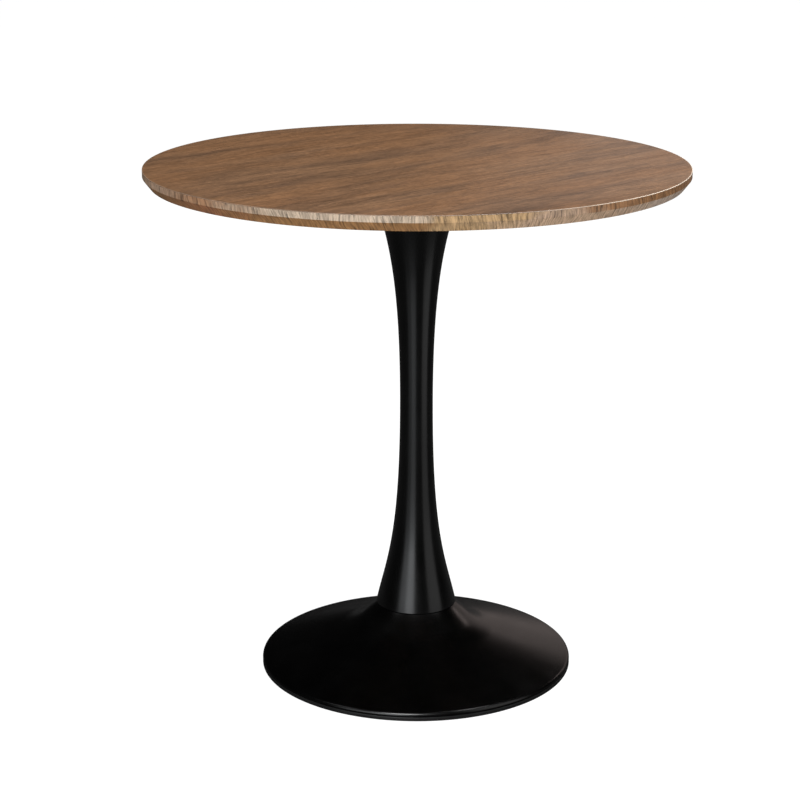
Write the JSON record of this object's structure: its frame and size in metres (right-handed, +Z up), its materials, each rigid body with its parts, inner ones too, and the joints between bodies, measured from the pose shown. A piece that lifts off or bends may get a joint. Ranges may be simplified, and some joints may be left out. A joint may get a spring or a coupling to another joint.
{
  "type": "round pedestal table",
  "caption": "Round pedestal table: a wood-veneered top with a chamfered edge on a spun hourglass stem and a weighted trumpet base.",
  "frame": {"origin": "on the floor, at the middle of the rim ring, on the axis that the top, stem and base share", "axes": "+Z up along the table's axis; +X and +Y lie in the floor, and one pair of mounting screws lies on the Y axis"},
  "size_m": [0.762, 0.762, 0.741],
  "materials": {
    "board": "raw MDF",
    "top_face": "walnut veneer, satin lacquer",
    "backing": "walnut backing veneer, matt lacquer",
    "edge": "walnut edging, satin lacquer",
    "chamfer": "walnut edging, satin lacquer",
    "zinc": "zinc plated",
    "fastener": "black oxide",
    "plate": "black powder coat",
    "stem": "satin black lacquer",
    "base": "satin black lacquer",
    "ballast": "sand cast, primed",
    "rod": "zinc plated",
    "gasket": "matt",
    "rim_ring": "matt moulded",
    "bottom_plate": "black powder coat",
    "plug": "moulded"
  },
  "bodies": {
    "root": {"access_plug": "plug", "backing_veneer": "backing", "ballast": "ballast", "base_cover": "base", "bottom_plate": "bottom_plate", "centring_disc": "rod", "chamfer_strip": "chamfer", "clamp_nut": "rod", "clamp_washer": "rod", "cover_screw_1": "fastener", "cover_screw_2": "fastener", "cover_screw_3": "fastener", "cover_screw_4": "fastener", "cover_screw_5": "fastener", "cover_screw_6": "fastener", "edge_band": "edge", "mounting_plate": "plate", "neck_gasket": "gasket", "plate_screw_1": "fastener", "plate_screw_2": "fastener", "plate_screw_3": "fastener", "plate_screw_4": "fastener", "plate_screw_5": "fastener", "plate_screw_6": "fastener", "rim_ring": "rim_ring", "rod_boss": "plate", "stem": "stem", "stem_spigot": "plate", "threaded_insert_1": "zinc", "threaded_insert_2": "zinc", "threaded_insert_3": "zinc", "threaded_insert_4": "zinc", "threaded_insert_5": "zinc", "threaded_insert_6": "zinc", "tie_rod": "rod", "top_core": "board", "top_veneer": "top_face"}
  },
  "joints": []
}
